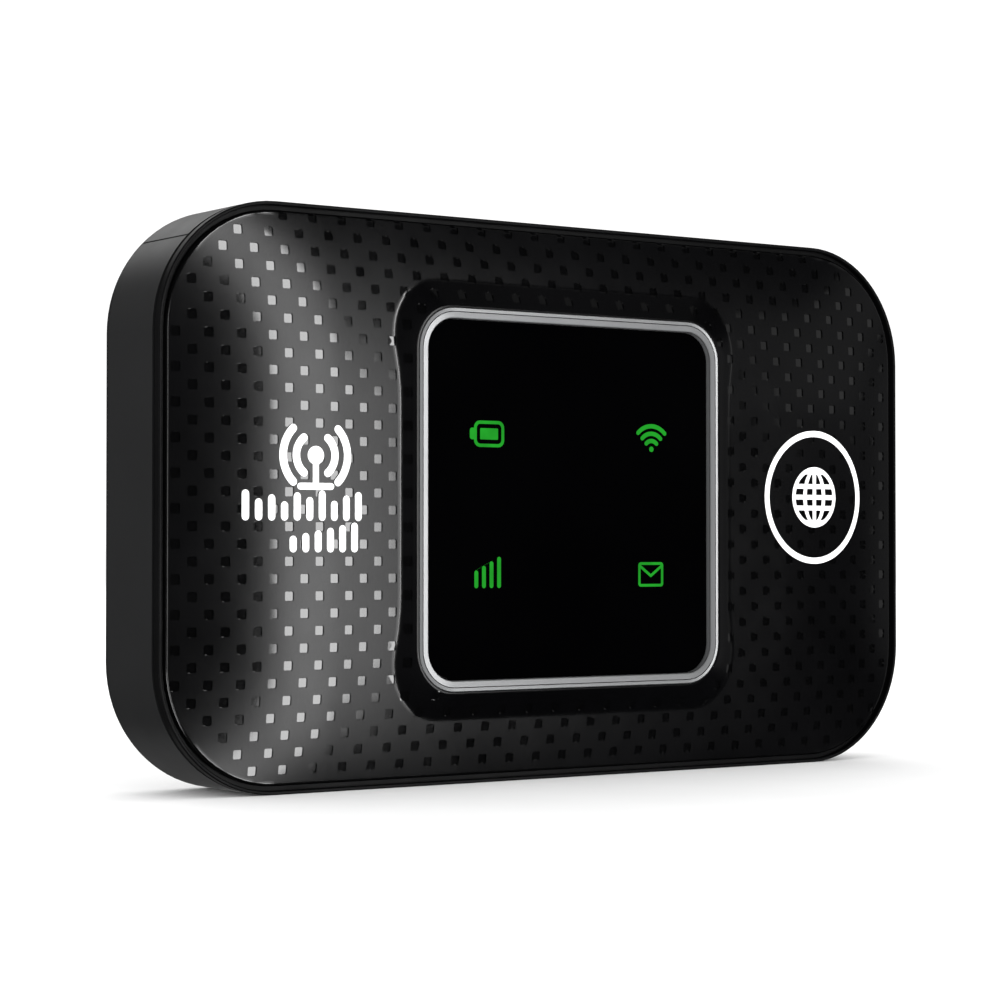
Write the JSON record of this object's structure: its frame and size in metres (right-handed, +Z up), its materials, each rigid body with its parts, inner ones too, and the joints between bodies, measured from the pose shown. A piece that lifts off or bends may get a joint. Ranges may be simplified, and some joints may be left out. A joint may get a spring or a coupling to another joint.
{
  "type": "mobile hotspot",
  "caption": "Pocket mobile hotspot with a dotted domed face, a silver-ringed status window, two buttons on its top edge, a data port and a removable battery cover.",
  "frame": {"origin": "middle of the underside of the hotspot as it stands on its long lower edge", "axes": "+X along its length, -Y out of its face, +Z up"},
  "size_m": [0.099, 0.015, 0.0603],
  "materials": {
    "shell_face": "satin moulded face with polished square dimples",
    "shell_side": "fine spark texture",
    "trim_black": "satin",
    "ring_silver": "satin anodised",
    "lens_black": "smoked, polished",
    "button_black": "satin",
    "inner_plastic": "plain moulded",
    "white_plastic": "plain moulded",
    "diffuser": "translucent film",
    "board_green": "solder mask",
    "chip_black": "moulded epoxy",
    "ceramic": "sintered",
    "tinned_steel": "tinned sheet",
    "gold_plate": "plated",
    "screw_steel": "blackened",
    "pack_wrap": "film wrap",
    "foam": "closed cell foam",
    "thermal_grey": "soft silicone",
    "led_green": "clear lamp",
    "card_plastic": "printed card",
    "flex_copper": "flexible circuit"
  },
  "bodies": {
    "case": {"front_cover": "shell_face", "window_ring": "ring_silver", "window_lens": "lens_black", "lens_gasket": "foam", "trim_frame": "trim_black", "top_strip": "shell_side", "rear_housing": "shell_side", "power_switch": "tinned_steel", "pairing_switch": "tinned_steel", "reset_switch": "tinned_steel", "main_board": "board_green", "modem_shield": "tinned_steel", "radio_shield": "tinned_steel", "modem_chip": "chip_black", "memory_chip": "chip_black", "radio_chip": "chip_black", "power_chip": "chip_black", "board_capacitors": "ceramic", "power_inductors": "chip_black", "thermal_pad": "thermal_grey", "light_baffle": "inner_plastic", "diffuser_sheet": "diffuser", "status_leds": "led_green", "battery_connector": "inner_plastic", "battery_springs": "gold_plate", "battery_pads": "foam", "card_socket": "tinned_steel", "memory_card_socket": "tinned_steel", "data_port_shell": "tinned_steel", "data_port_tongue": "inner_plastic", "main_antenna": "flex_copper", "diversity_antenna": "flex_copper", "wireless_antenna": "flex_copper", "antenna_springs": "gold_plate", "board_screws": "screw_steel", "housing_screws": "screw_steel"},
    "battery_cover": {"battery_cover": "shell_side"},
    "battery": {"battery_pack": "pack_wrap", "battery_contacts": "gold_plate"},
    "power_button": {"power_button": "button_black"},
    "pairing_button": {"pairing_button": "button_black"},
    "reset_plunger": {"reset_plunger": "inner_plastic"},
    "card": {"subscriber_card": "card_plastic"}
  },
  "joints": [
    {"name": "battery_cover_off", "type": "slide", "parent": "case", "child": "battery_cover", "axis": [0, 1, 0], "range_m": [0, 0.03]},
    {"name": "battery_out", "type": "slide", "parent": "case", "child": "battery", "axis": [0, 1, 0], "range_m": [0, 0.012]},
    {"name": "power_press", "type": "slide", "parent": "case", "child": "power_button", "axis": [0, 0, -1], "range_m": [0, 0.0004], "stiffness_N_per_m": 800, "springref_m": -0.0006},
    {"name": "pairing_press", "type": "slide", "parent": "case", "child": "pairing_button", "axis": [0, 0, -1], "range_m": [0, 0.0004], "stiffness_N_per_m": 800, "springref_m": -0.0006},
    {"name": "reset_press", "type": "slide", "parent": "case", "child": "reset_plunger", "axis": [-1, 0, 0], "range_m": [0, 0.00025], "stiffness_N_per_m": 800, "springref_m": -0.0006},
    {"name": "card_out", "type": "slide", "parent": "case", "child": "card", "axis": [0, 0, 1], "range_m": [0, 0.012]}
  ],
  "couplings": [
    {"joint": "battery_out", "follows": "battery_cover_off", "ratio": 0.4}
  ]
}
